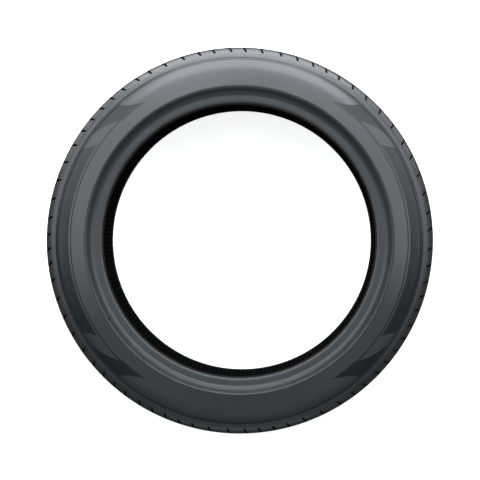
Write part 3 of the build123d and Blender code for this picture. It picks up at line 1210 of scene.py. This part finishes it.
@dataclass
class Tyre:
    """The whole tyre as one moulded piece."""

    section: TyreSection = field(default_factory=TyreSection)
    segments: int = 240
    sharp_deg: float = 32.0
    helpers: list[Object] = field(default_factory=list)

    def finishes(self) -> dict[str, Material]:
        """Makes the finishes of the rubber and returns their materials by name."""
        grain = RubberGrain().make()
        return {finish.name: finish.make(grain) for finish in RUBBER}

    def helper(self, name: str, mesh: Mesh) -> Object:
        """Makes an object that only feeds a node tree and is removed at the end.

        Args:
            name: the object's name.
            mesh: its mesh.

        Returns:
            The object.
        """
        made = add_object(name, mesh)
        self.helpers.append(made)
        return made

    def places(self, name: str, turns: list[float]) -> Object:
        """Makes points that carry a turn each.

        Args:
            name: name of the object that holds them.
            turns: the turns in radians.

        Returns:
            The object.
        """
        mesh = bpy.data.meshes.new(name)
        mesh.from_pydata([(0.0, 0.0, 0.0)] * len(turns), [], [])
        mesh.attributes.new(TURN, "FLOAT", "POINT").data.foreach_set("value", turns)
        return self.helper(name, mesh)

    def section_object(self) -> Object:
        """Lays the section out as a closed line about the sweep's path.

        Returns:
            The object that holds it, with a mark on each point for every zone.
        """
        outline = self.section.outline()
        path_radius = self.section.rim_radius
        mesh = bpy.data.meshes.new("tyre")
        corners = [((radius - path_radius) * METRES, axial * METRES, 0.0) for axial, radius, _ in outline]
        edges = [(index, (index + 1) % len(outline)) for index in range(len(outline))]
        mesh.from_pydata(corners, edges, [])
        for zone in Zone:
            marks = [1.0 if zone in zones else 0.0 for _, _, zones in outline]
            mesh.attributes.new(zone.value, "FLOAT", "POINT").data.foreach_set("value", marks)
        return self.helper("tyre_section", mesh)

    def build(self) -> Object:
        """Makes the tyre.

        Returns:
            The tyre as one plain closed mesh.
        """
        finish = self.finishes()
        base = self.section_object()
        turn = {"Path Radius": self.section.rim_radius * METRES, "Segments": self.segments}
        turning_tree().put_on(base, "turn", turn)
        zones = {
            Zone.TREAD.label: finish["tread"],
            Zone.WALL.label: finish["sidewall"],
            Zone.BEAD.label: finish["bead"],
            Zone.LINER.label: finish["liner"],
            # Painted shade: the fine lines' floors get the darker slot finish.
            Zone.LINE.label: finish["slot"],
        }
        finishing_tree().put_on(base, "finishes", zones)
        repeat = repeating_tree()
        for feature in self.features(finish):
            self.repeat(base, repeat, feature)
        piece = self.settle(base)
        for helper in self.helpers:
            bpy.data.objects.remove(helper)
        return piece

    def features(self, finish: dict[str, Material]) -> list[Feature]:
        """Lists what is repeated round the tyre.

        Args:
            finish: the materials by name.

        Returns:
            The wear bars, then the cuts in the tread, under the lip and in the sidewalls.
        """
        tread, slot, sunken = finish["tread"], finish["slot"], finish["sunken field"]
        bars = WearBars(self.section)
        ticks = FittingTicks(self.section)
        pattern = TreadPattern(self.section)
        fields = WallFields(self.section)
        field_turns = evenly_round(fields.copies)
        bar_turns = evenly_round(bars.count, pi / bars.count)
        bar_rows = [
            Feature(f"wear bars {centre:.0f}", bars.bar(centre), bar_turns, tread, raised=True)
            for centre in self.section.groove_centres
        ]
        tick_turns = evenly_round(ticks.count, radians(ticks.first_deg))
        centre_turns = pattern.turns(pattern.centre_sipe_shares)
        return [
            *bar_rows,
            # Shoulder slots, shoulder sipes and fitting notches take the slot finish inside them, which is
            # painted shade.
            Feature("shoulder slots", pattern.slot(), pattern.turns(), slot),
            Feature("shoulder slits", pattern.slit(), pattern.turns(), tread),
            Feature("shoulder sipes", pattern.sipe(), pattern.sipe_turns(), slot),
            Feature("rib slots", pattern.rib_slot(), pattern.turns((pattern.rib_slot_share,)), tread),
            Feature("centre sipes", pattern.centre_sipe(), centre_turns, tread, both_sides=False),
            Feature("fitting ticks", ticks.notch(), tick_turns, slot),
            *(Feature(name, mesh, field_turns, sunken) for name, mesh in fields.cutters().items()),
        ]

    def repeat(self, base: Object, tree: NodeTree, feature: Feature) -> None:
        """Puts a feature round the tyre. Its shape has the finish from the start, so that the cut keeps it.

        Args:
            base: object that carries the trees.
            tree: tree that repeats.
            feature: what is repeated.
        """
        feature.mesh.materials.append(feature.finish)
        values = {
            "Shape": self.helper(f"{feature.name} shape", feature.mesh),
            "Places": self.places(f"{feature.name} places", feature.turns),
            "Both Sides": feature.both_sides,
            "Raised": feature.raised,
            "Finish": feature.finish,
        }
        tree.put_on(base, feature.name, values)

    def settle(self, base: Object) -> Object:
        """Turns the evaluated trees into a plain mesh with smooth faces and sharp edges.

        Args:
            base: object that carries the trees.

        Returns:
            The tyre.
        """
        graph = bpy.context.evaluated_depsgraph_get()
        mesh = bpy.data.meshes.new_from_object(base.evaluated_get(graph))
        mesh.name = "tyre"
        mesh.shade_smooth()
        mesh.set_sharp_from_angle(angle=radians(self.sharp_deg))
        return add_object("tyre_rubber", mesh)


@dataclass(frozen=True)
class SoftBox:
    """Studio light that faces the tyre's centre. One off the middle plane stands on both sides."""

    name: str
    place: Triple
    size: Flat
    power: float
    colour: Triple = (0.97, 1.0, 1.04)

    def make(self) -> None:
        """Adds the light, or the left and the right one."""
        across, along, height = self.place
        if across == 0.0:
            self.add(self.name, Vector(self.place))
            return
        self.add(f"left {self.name}", Vector((-across, along, height)))
        self.add(f"right {self.name}", Vector((across, along, height)))

    def add(self, name: str, place: Vector) -> None:
        """Adds one light.

        Args:
            name: its name.
            place: where it stands.
        """
        data = bpy.data.lights.new(name, "AREA")
        data.shape = "RECTANGLE"
        data.size, data.size_y = self.size
        data.energy = self.power
        data.color = self.colour
        light = add_object(name, data)
        light.location = place
        light.rotation_euler = (-place).to_track_quat("-Z", "Y").to_euler()
        light.visible_camera = False


@dataclass(frozen=True)
class Studio:
    """Pale floor, soft light and a camera that looks down on the tyre as the photograph looks at it."""

    floor_height: float
    floor_size: float = 80.0
    floor_tone: float = 0.8
    floor_roughness: float = 0.9
    floor_glow: float = 0.8
    world_strength: float = 0.1
    camera_distance: float = 3.781
    camera_right_deg: float = 1.3
    camera_up_deg: float = 0.2
    lens: float = 146.9
    picture_right: float = 0.00104
    picture_down: float = 0.00073
    boxes: tuple[SoftBox, ...] = (
        SoftBox("key box", place=(0.0, 1.22, 2.3), size=(1.4, 0.9), power=35.0),
        SoftBox("shoulder box", place=(0.0, 0.78, 0.5), size=(0.9, 0.3), power=2.6),
        SoftBox("edge box", place=(0.0, 0.64, 0.17), size=(0.9, 0.34), power=7.0),
        SoftBox("edge box", place=(0.6, 0.55, 0.02), size=(0.6, 0.3), power=1.5),
        SoftBox("fill box", place=(0.0, -2.3, 0.4), size=(2.0, 0.6), power=7.0),
        SoftBox("low box", place=(0.0, -0.8, 2.4), size=(1.0, 0.8), power=0.9),
        SoftBox("low box", place=(0.75, -0.45, 2.45), size=(0.9, 0.8), power=0.9),
        SoftBox("front box", place=(0.84, 0.49, 2.41), size=(1.2, 1.0), power=11.5),
        SoftBox("upper box", place=(1.57, 1.23, 1.67), size=(1.2, 1.2), power=16.0),
        SoftBox("side box", place=(2.24, 0.24, 1.3), size=(1.2, 1.2), power=14.0),
    )

    def floor(self) -> None:
        """Lays the floor."""
        half = self.floor_size / 2
        corners = [(-half, -half), (half, -half), (half, half), (-half, half)]
        mesh = bpy.data.meshes.new("floor")
        mesh.from_pydata([(x, y, self.floor_height) for x, y in corners], [], [(0, 1, 2, 3)])
        material = bpy.data.materials.new("pale floor")
        material.use_nodes = True
        looks = {
            "Base Color": (self.floor_tone, self.floor_tone, self.floor_tone, 1.0),
            "Roughness": self.floor_roughness,
            "Emission Color": WHITE,
            "Emission Strength": self.floor_glow,
        }
        set_inputs(material.node_tree.nodes["Principled BSDF"], looks)
        mesh.materials.append(material)
        floor = add_object("floor", mesh)
        floor.visible_diffuse = False
        floor.visible_glossy = False

    def light(self) -> None:
        """Sets the world and the soft boxes."""
        world = bpy.data.worlds.new("studio")
        world.use_nodes = True
        set_inputs(world.node_tree.nodes["Background"], {"Color": WHITE, "Strength": self.world_strength})
        bpy.context.scene.world = world
        for box in self.boxes:
            box.make()

    def camera(self) -> None:
        """Sets the camera over the tyre, with +Y at the top of the picture."""
        right = radians(self.camera_right_deg)
        up = radians(self.camera_up_deg)
        back = Vector((sin(right) * cos(up), sin(up), cos(right) * cos(up)))
        side = Vector((0.0, 1.0, 0.0)).cross(back).normalized()
        axes = Matrix((side, back.cross(side), back)).transposed()
        data = bpy.data.cameras.new("camera")
        data.lens = self.lens
        data.shift_x = -self.picture_right
        data.shift_y = self.picture_down
        camera = add_object("camera", data)
        camera.matrix_world = Matrix.Translation(back * self.camera_distance) @ axes.to_4x4()
        bpy.context.scene.camera = camera

    def set_up(self) -> None:
        """Makes the whole studio."""
        self.floor()
        self.light()
        self.camera()
        bpy.context.scene.view_settings.view_transform = "Standard"


def main() -> None:
    """Builds the tyre and the studio, and logs the tyre's triangles and finishes."""
    logging.basicConfig(level=logging.INFO, format="%(message)s")
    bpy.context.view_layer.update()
    piece = Tyre().build()
    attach(piece, "root")
    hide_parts("tyre")
    triangles = sum(len(face.vertices) - 2 for face in piece.data.polygons)
    LOG.info("tyre: %d triangles, %d finishes", triangles, len(piece.data.materials))
    low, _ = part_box("tyre")
    Studio(floor_height=low[2]).set_up()


if __name__ == "__main__":
    main()
